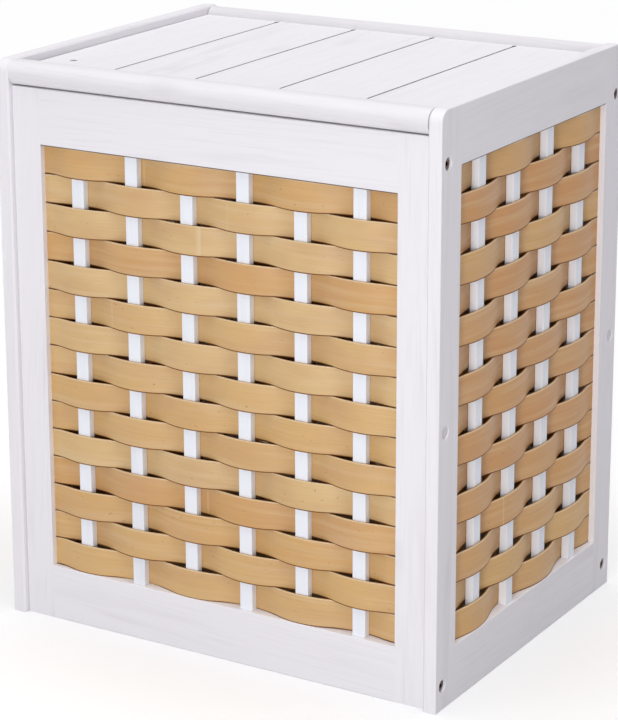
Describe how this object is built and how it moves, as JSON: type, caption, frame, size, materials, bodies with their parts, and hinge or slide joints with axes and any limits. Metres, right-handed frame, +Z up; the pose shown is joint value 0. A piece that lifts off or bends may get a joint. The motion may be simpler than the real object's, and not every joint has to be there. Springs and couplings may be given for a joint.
{
  "type": "storage trunk",
  "caption": "Free-standing lidded storage trunk: white painted timber frames with woven bamboo strip panels, and a planked lid that turns up on pivot pins at the back.",
  "frame": {"origin": "middle of the trunk's footprint, on the floor", "axes": "+X to the right, +Y from the front to the back, +Z up"},
  "size_m": [0.452, 0.352, 0.53],
  "materials": {
    "white_paint": "white paint on timber, satin, faint grain",
    "painted_lath": "white paint on narrow laths, satin",
    "plain_board": "plain unpainted board, matte",
    "bamboo_strip": "split bamboo, satin, fine lengthwise grain",
    "bronze_steel": "dark bronze plated",
    "zinc_steel": "zinc plated",
    "white_cap": "moulded, matte"
  },
  "bodies": {
    "trunk": {"front_left_stile": "white_paint", "front_right_stile": "white_paint", "front_top_rail": "white_paint", "front_bottom_rail": "white_paint", "front_laths": "painted_lath", "front_strips_odd": "bamboo_strip", "front_strips_even": "bamboo_strip", "back_left_stile": "white_paint", "back_right_stile": "white_paint", "back_top_rail": "white_paint", "back_bottom_rail": "white_paint", "back_laths": "painted_lath", "back_strips_odd": "bamboo_strip", "back_strips_even": "bamboo_strip", "left_front_stile": "white_paint", "left_back_stile": "white_paint", "left_top_rail": "white_paint", "left_bottom_rail": "white_paint", "left_laths": "painted_lath", "left_strips_odd": "bamboo_strip", "left_strips_even": "bamboo_strip", "right_front_stile": "white_paint", "right_back_stile": "white_paint", "right_top_rail": "white_paint", "right_bottom_rail": "white_paint", "right_laths": "painted_lath", "right_strips_odd": "bamboo_strip", "right_strips_even": "bamboo_strip", "base_board": "plain_board", "front_cleat": "plain_board", "back_cleat": "plain_board", "left_cleat": "plain_board", "right_cleat": "plain_board", "left_bolts": "bronze_steel", "right_bolts": "bronze_steel", "left_cross_nuts": "zinc_steel", "right_cross_nuts": "zinc_steel", "left_bolt_caps": "white_cap", "right_bolt_caps": "white_cap"},
    "lid": {"lid_front_rail": "white_paint", "lid_plank_1": "white_paint", "lid_plank_2": "white_paint", "lid_plank_3": "white_paint", "lid_plank_4": "white_paint", "lid_plank_5": "white_paint", "lid_back_bar": "white_paint", "left_pivot_pin": "zinc_steel", "right_pivot_pin": "zinc_steel"}
  },
  "joints": [
    {"name": "lid_hinge", "type": "hinge", "parent": "trunk", "child": "lid", "pos_m": [0, 0.1616, 0.5183], "axis": [-1, 0, 0], "range_deg": [0, 97]}
  ]
}
